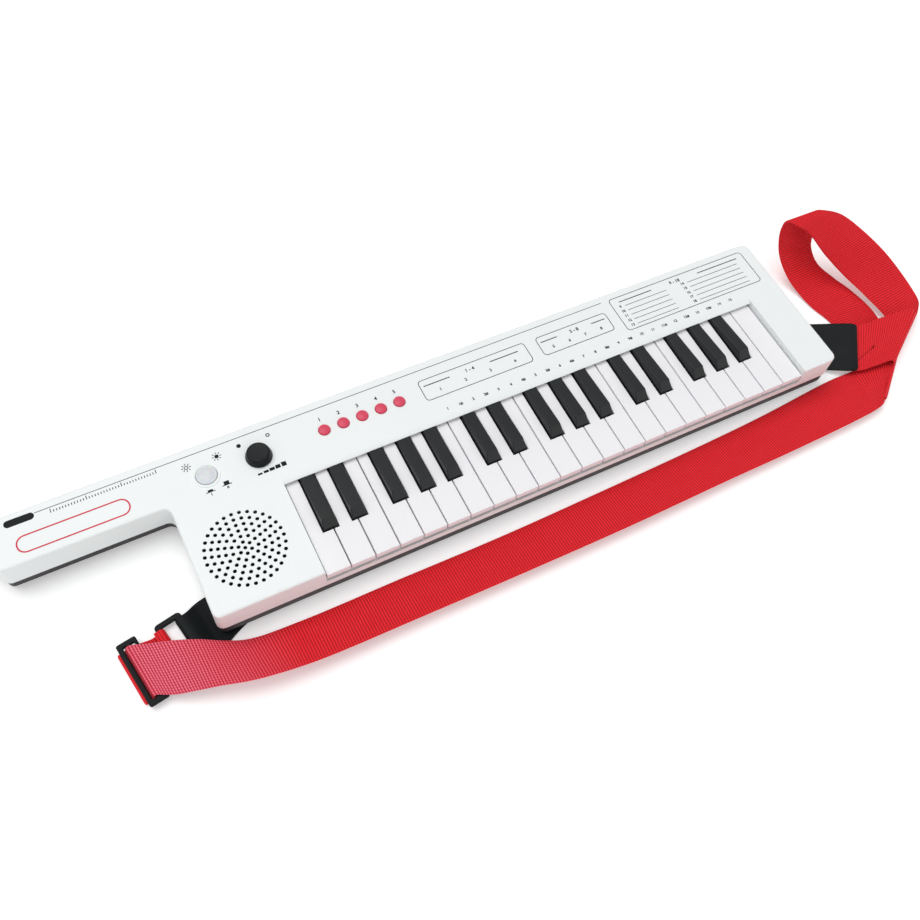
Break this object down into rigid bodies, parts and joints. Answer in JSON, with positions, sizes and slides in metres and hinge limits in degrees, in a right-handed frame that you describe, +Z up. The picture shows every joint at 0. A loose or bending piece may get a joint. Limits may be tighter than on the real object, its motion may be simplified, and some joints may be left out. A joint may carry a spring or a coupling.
{
  "type": "keytar",
  "caption": "Light toy keytar in a white moulded case with a short neck, a black lower shell, piano-style keys, red push buttons, a speaker grille and a red webbing strap.",
  "frame": {"origin": "bottom centre of the bounding box of the whole part, strap included, on the plane that the feet stand on", "axes": "+X along the keyboard from the neck towards the treble end, +Y from the front edge of the keys towards the rear edge of the case, +Z up out of the keys"},
  "size_m": [0.7964, 0.1852, 0.061],
  "materials": {
    "white_case": "smooth moulded, slight gloss",
    "black_case": "fine moulded texture",
    "white_keys": "smooth, slight gloss",
    "black_keys": "satin moulded",
    "black_plastic": "satin moulded",
    "red_plastic": "smooth, slight gloss",
    "milky_plastic": "milky, slight gloss",
    "strap_plastic": "satin moulded",
    "webbing": "ribbed woven webbing",
    "paper_cone": "matte",
    "board": "solder mask",
    "silicone": "matte",
    "socket_metal": "bright plated"
  },
  "bodies": {
    "case": {"upper_shell": "white_case", "lower_shell": "black_case", "battery_door": "black_case", "speaker": "paper_cone", "control_board": "board", "main_board": "board", "contact_board": "board", "rubber_contact_strip": "silicone", "key_hinge_rail": "black_plastic", "usb_socket": "socket_metal", "audio_socket": "black_plastic", "strap_webbing": "webbing", "strap_tab_left": "strap_plastic", "strap_tab_right": "strap_plastic", "strap_ring": "strap_plastic", "strap_slider": "strap_plastic"},
    "white_key_01": {"white_key_01": "white_keys"},
    "white_key_02": {"white_key_02": "white_keys"},
    "white_key_03": {"white_key_03": "white_keys"},
    "white_key_04": {"white_key_04": "white_keys"},
    "white_key_05": {"white_key_05": "white_keys"},
    "white_key_06": {"white_key_06": "white_keys"},
    "white_key_07": {"white_key_07": "white_keys"},
    "white_key_08": {"white_key_08": "white_keys"},
    "white_key_09": {"white_key_09": "white_keys"},
    "white_key_10": {"white_key_10": "white_keys"},
    "white_key_11": {"white_key_11": "white_keys"},
    "white_key_12": {"white_key_12": "white_keys"},
    "white_key_13": {"white_key_13": "white_keys"},
    "white_key_14": {"white_key_14": "white_keys"},
    "white_key_15": {"white_key_15": "white_keys"},
    "white_key_16": {"white_key_16": "white_keys"},
    "white_key_17": {"white_key_17": "white_keys"},
    "white_key_18": {"white_key_18": "white_keys"},
    "white_key_19": {"white_key_19": "white_keys"},
    "white_key_20": {"white_key_20": "white_keys"},
    "white_key_21": {"white_key_21": "white_keys"},
    "white_key_22": {"white_key_22": "white_keys"},
    "black_key_01": {"black_key_01": "black_keys"},
    "black_key_02": {"black_key_02": "black_keys"},
    "black_key_03": {"black_key_03": "black_keys"},
    "black_key_04": {"black_key_04": "black_keys"},
    "black_key_05": {"black_key_05": "black_keys"},
    "black_key_06": {"black_key_06": "black_keys"},
    "black_key_07": {"black_key_07": "black_keys"},
    "black_key_08": {"black_key_08": "black_keys"},
    "black_key_09": {"black_key_09": "black_keys"},
    "black_key_10": {"black_key_10": "black_keys"},
    "black_key_11": {"black_key_11": "black_keys"},
    "black_key_12": {"black_key_12": "black_keys"},
    "black_key_13": {"black_key_13": "black_keys"},
    "black_key_14": {"black_key_14": "black_keys"},
    "black_key_15": {"black_key_15": "black_keys"},
    "button_one_key": {"button_one_key": "red_plastic"},
    "button_sounds": {"button_sounds": "red_plastic"},
    "button_rhythms": {"button_rhythms": "red_plastic"},
    "button_demo": {"button_demo": "red_plastic"},
    "button_stop": {"button_stop": "red_plastic"},
    "power_button": {"power_button": "milky_plastic"},
    "volume_knob": {"volume_knob": "black_plastic"}
  },
  "joints": [
    {"name": "white_key_01_press", "type": "hinge", "parent": "case", "child": "white_key_01", "pos_m": [-0.17328, 0.05308, 0.024], "axis": [1, 0, 0], "range_deg": [0, 2.4], "stiffness_Nm_per_rad": 0.6, "springref_deg": -3.44},
    {"name": "white_key_02_press", "type": "hinge", "parent": "case", "child": "white_key_02", "pos_m": [-0.15428, 0.05308, 0.024], "axis": [1, 0, 0], "range_deg": [0, 2.4], "stiffness_Nm_per_rad": 0.6, "springref_deg": -3.44},
    {"name": "white_key_03_press", "type": "hinge", "parent": "case", "child": "white_key_03", "pos_m": [-0.13528, 0.05308, 0.024], "axis": [1, 0, 0], "range_deg": [0, 2.4], "stiffness_Nm_per_rad": 0.6, "springref_deg": -3.44},
    {"name": "white_key_04_press", "type": "hinge", "parent": "case", "child": "white_key_04", "pos_m": [-0.11628, 0.05308, 0.024], "axis": [1, 0, 0], "range_deg": [0, 2.4], "stiffness_Nm_per_rad": 0.6, "springref_deg": -3.44},
    {"name": "white_key_05_press", "type": "hinge", "parent": "case", "child": "white_key_05", "pos_m": [-0.09728, 0.05308, 0.024], "axis": [1, 0, 0], "range_deg": [0, 2.4], "stiffness_Nm_per_rad": 0.6, "springref_deg": -3.44},
    {"name": "white_key_06_press", "type": "hinge", "parent": "case", "child": "white_key_06", "pos_m": [-0.07828, 0.05308, 0.024], "axis": [1, 0, 0], "range_deg": [0, 2.4], "stiffness_Nm_per_rad": 0.6, "springref_deg": -3.44},
    {"name": "white_key_07_press", "type": "hinge", "parent": "case", "child": "white_key_07", "pos_m": [-0.05928, 0.05308, 0.024], "axis": [1, 0, 0], "range_deg": [0, 2.4], "stiffness_Nm_per_rad": 0.6, "springref_deg": -3.44},
    {"name": "white_key_08_press", "type": "hinge", "parent": "case", "child": "white_key_08", "pos_m": [-0.04028, 0.05308, 0.024], "axis": [1, 0, 0], "range_deg": [0, 2.4], "stiffness_Nm_per_rad": 0.6, "springref_deg": -3.44},
    {"name": "white_key_09_press", "type": "hinge", "parent": "case", "child": "white_key_09", "pos_m": [-0.02128, 0.05308, 0.024], "axis": [1, 0, 0], "range_deg": [0, 2.4], "stiffness_Nm_per_rad": 0.6, "springref_deg": -3.44},
    {"name": "white_key_10_press", "type": "hinge", "parent": "case", "child": "white_key_10", "pos_m": [-0.00228, 0.05308, 0.024], "axis": [1, 0, 0], "range_deg": [0, 2.4], "stiffness_Nm_per_rad": 0.6, "springref_deg": -3.44},
    {"name": "white_key_11_press", "type": "hinge", "parent": "case", "child": "white_key_11", "pos_m": [0.01672, 0.05308, 0.024], "axis": [1, 0, 0], "range_deg": [0, 2.4], "stiffness_Nm_per_rad": 0.6, "springref_deg": -3.44},
    {"name": "white_key_12_press", "type": "hinge", "parent": "case", "child": "white_key_12", "pos_m": [0.03572, 0.05308, 0.024], "axis": [1, 0, 0], "range_deg": [0, 2.4], "stiffness_Nm_per_rad": 0.6, "springref_deg": -3.44},
    {"name": "white_key_13_press", "type": "hinge", "parent": "case", "child": "white_key_13", "pos_m": [0.05472, 0.05308, 0.024], "axis": [1, 0, 0], "range_deg": [0, 2.4], "stiffness_Nm_per_rad": 0.6, "springref_deg": -3.44},
    {"name": "white_key_14_press", "type": "hinge", "parent": "case", "child": "white_key_14", "pos_m": [0.07372, 0.05308, 0.024], "axis": [1, 0, 0], "range_deg": [0, 2.4], "stiffness_Nm_per_rad": 0.6, "springref_deg": -3.44},
    {"name": "white_key_15_press", "type": "hinge", "parent": "case", "child": "white_key_15", "pos_m": [0.09272, 0.05308, 0.024], "axis": [1, 0, 0], "range_deg": [0, 2.4], "stiffness_Nm_per_rad": 0.6, "springref_deg": -3.44},
    {"name": "white_key_16_press", "type": "hinge", "parent": "case", "child": "white_key_16", "pos_m": [0.11172, 0.05308, 0.024], "axis": [1, 0, 0], "range_deg": [0, 2.4], "stiffness_Nm_per_rad": 0.6, "springref_deg": -3.44},
    {"name": "white_key_17_press", "type": "hinge", "parent": "case", "child": "white_key_17", "pos_m": [0.13072, 0.05308, 0.024], "axis": [1, 0, 0], "range_deg": [0, 2.4], "stiffness_Nm_per_rad": 0.6, "springref_deg": -3.44},
    {"name": "white_key_18_press", "type": "hinge", "parent": "case", "child": "white_key_18", "pos_m": [0.14972, 0.05308, 0.024], "axis": [1, 0, 0], "range_deg": [0, 2.4], "stiffness_Nm_per_rad": 0.6, "springref_deg": -3.44},
    {"name": "white_key_19_press", "type": "hinge", "parent": "case", "child": "white_key_19", "pos_m": [0.16872, 0.05308, 0.024], "axis": [1, 0, 0], "range_deg": [0, 2.4], "stiffness_Nm_per_rad": 0.6, "springref_deg": -3.44},
    {"name": "white_key_20_press", "type": "hinge", "parent": "case", "child": "white_key_20", "pos_m": [0.18772, 0.05308, 0.024], "axis": [1, 0, 0], "range_deg": [0, 2.4], "stiffness_Nm_per_rad": 0.6, "springref_deg": -3.44},
    {"name": "white_key_21_press", "type": "hinge", "parent": "case", "child": "white_key_21", "pos_m": [0.20672, 0.05308, 0.024], "axis": [1, 0, 0], "range_deg": [0, 2.4], "stiffness_Nm_per_rad": 0.6, "springref_deg": -3.44},
    {"name": "white_key_22_press", "type": "hinge", "parent": "case", "child": "white_key_22", "pos_m": [0.22572, 0.05308, 0.024], "axis": [1, 0, 0], "range_deg": [0, 2.4], "stiffness_Nm_per_rad": 0.6, "springref_deg": -3.44},
    {"name": "black_key_01_press", "type": "hinge", "parent": "case", "child": "black_key_01", "pos_m": [-0.16568, 0.05308, 0.024], "axis": [1, 0, 0], "range_deg": [0, 3.5], "stiffness_Nm_per_rad": 0.6, "springref_deg": -3.44},
    {"name": "black_key_02_press", "type": "hinge", "parent": "case", "child": "black_key_02", "pos_m": [-0.14307, 0.05308, 0.024], "axis": [1, 0, 0], "range_deg": [0, 3.5], "stiffness_Nm_per_rad": 0.6, "springref_deg": -3.44},
    {"name": "black_key_03_press", "type": "hinge", "parent": "case", "child": "black_key_03", "pos_m": [-0.11058, 0.05308, 0.024], "axis": [1, 0, 0], "range_deg": [0, 3.5], "stiffness_Nm_per_rad": 0.6, "springref_deg": -3.44},
    {"name": "black_key_04_press", "type": "hinge", "parent": "case", "child": "black_key_04", "pos_m": [-0.08778, 0.05308, 0.024], "axis": [1, 0, 0], "range_deg": [0, 3.5], "stiffness_Nm_per_rad": 0.6, "springref_deg": -3.44},
    {"name": "black_key_05_press", "type": "hinge", "parent": "case", "child": "black_key_05", "pos_m": [-0.06574, 0.05308, 0.024], "axis": [1, 0, 0], "range_deg": [0, 3.5], "stiffness_Nm_per_rad": 0.6, "springref_deg": -3.44},
    {"name": "black_key_06_press", "type": "hinge", "parent": "case", "child": "black_key_06", "pos_m": [-0.03268, 0.05308, 0.024], "axis": [1, 0, 0], "range_deg": [0, 3.5], "stiffness_Nm_per_rad": 0.6, "springref_deg": -3.44},
    {"name": "black_key_07_press", "type": "hinge", "parent": "case", "child": "black_key_07", "pos_m": [-0.01007, 0.05308, 0.024], "axis": [1, 0, 0], "range_deg": [0, 3.5], "stiffness_Nm_per_rad": 0.6, "springref_deg": -3.44},
    {"name": "black_key_08_press", "type": "hinge", "parent": "case", "child": "black_key_08", "pos_m": [0.02242, 0.05308, 0.024], "axis": [1, 0, 0], "range_deg": [0, 3.5], "stiffness_Nm_per_rad": 0.6, "springref_deg": -3.44},
    {"name": "black_key_09_press", "type": "hinge", "parent": "case", "child": "black_key_09", "pos_m": [0.04522, 0.05308, 0.024], "axis": [1, 0, 0], "range_deg": [0, 3.5], "stiffness_Nm_per_rad": 0.6, "springref_deg": -3.44},
    {"name": "black_key_10_press", "type": "hinge", "parent": "case", "child": "black_key_10", "pos_m": [0.06726, 0.05308, 0.024], "axis": [1, 0, 0], "range_deg": [0, 3.5], "stiffness_Nm_per_rad": 0.6, "springref_deg": -3.44},
    {"name": "black_key_11_press", "type": "hinge", "parent": "case", "child": "black_key_11", "pos_m": [0.10032, 0.05308, 0.024], "axis": [1, 0, 0], "range_deg": [0, 3.5], "stiffness_Nm_per_rad": 0.6, "springref_deg": -3.44},
    {"name": "black_key_12_press", "type": "hinge", "parent": "case", "child": "black_key_12", "pos_m": [0.12293, 0.05308, 0.024], "axis": [1, 0, 0], "range_deg": [0, 3.5], "stiffness_Nm_per_rad": 0.6, "springref_deg": -3.44},
    {"name": "black_key_13_press", "type": "hinge", "parent": "case", "child": "black_key_13", "pos_m": [0.15542, 0.05308, 0.024], "axis": [1, 0, 0], "range_deg": [0, 3.5], "stiffness_Nm_per_rad": 0.6, "springref_deg": -3.44},
    {"name": "black_key_14_press", "type": "hinge", "parent": "case", "child": "black_key_14", "pos_m": [0.17822, 0.05308, 0.024], "axis": [1, 0, 0], "range_deg": [0, 3.5], "stiffness_Nm_per_rad": 0.6, "springref_deg": -3.44},
    {"name": "black_key_15_press", "type": "hinge", "parent": "case", "child": "black_key_15", "pos_m": [0.20026, 0.05308, 0.024], "axis": [1, 0, 0], "range_deg": [0, 3.5], "stiffness_Nm_per_rad": 0.6, "springref_deg": -3.44},
    {"name": "button_one_key_press", "type": "slide", "parent": "case", "child": "button_one_key", "axis": [0, 0, -1], "range_m": [0, 0.001], "stiffness_N_per_m": 200, "springref_m": -0.0015},
    {"name": "button_sounds_press", "type": "slide", "parent": "case", "child": "button_sounds", "axis": [0, 0, -1], "range_m": [0, 0.001], "stiffness_N_per_m": 200, "springref_m": -0.0015},
    {"name": "button_rhythms_press", "type": "slide", "parent": "case", "child": "button_rhythms", "axis": [0, 0, -1], "range_m": [0, 0.001], "stiffness_N_per_m": 200, "springref_m": -0.0015},
    {"name": "button_demo_press", "type": "slide", "parent": "case", "child": "button_demo", "axis": [0, 0, -1], "range_m": [0, 0.001], "stiffness_N_per_m": 200, "springref_m": -0.0015},
    {"name": "button_stop_press", "type": "slide", "parent": "case", "child": "button_stop", "axis": [0, 0, -1], "range_m": [0, 0.001], "stiffness_N_per_m": 200, "springref_m": -0.0015},
    {"name": "power_button_press", "type": "slide", "parent": "case", "child": "power_button", "axis": [0, 0, -1], "range_m": [0, 0.0025], "stiffness_N_per_m": 200, "springref_m": -0.002},
    {"name": "volume_knob_turn", "type": "hinge", "parent": "case", "child": "volume_knob", "pos_m": [-0.19138, 0.06438, 0.0364], "axis": [0, 0, 1], "range_deg": [-150, 150]}
  ]
}
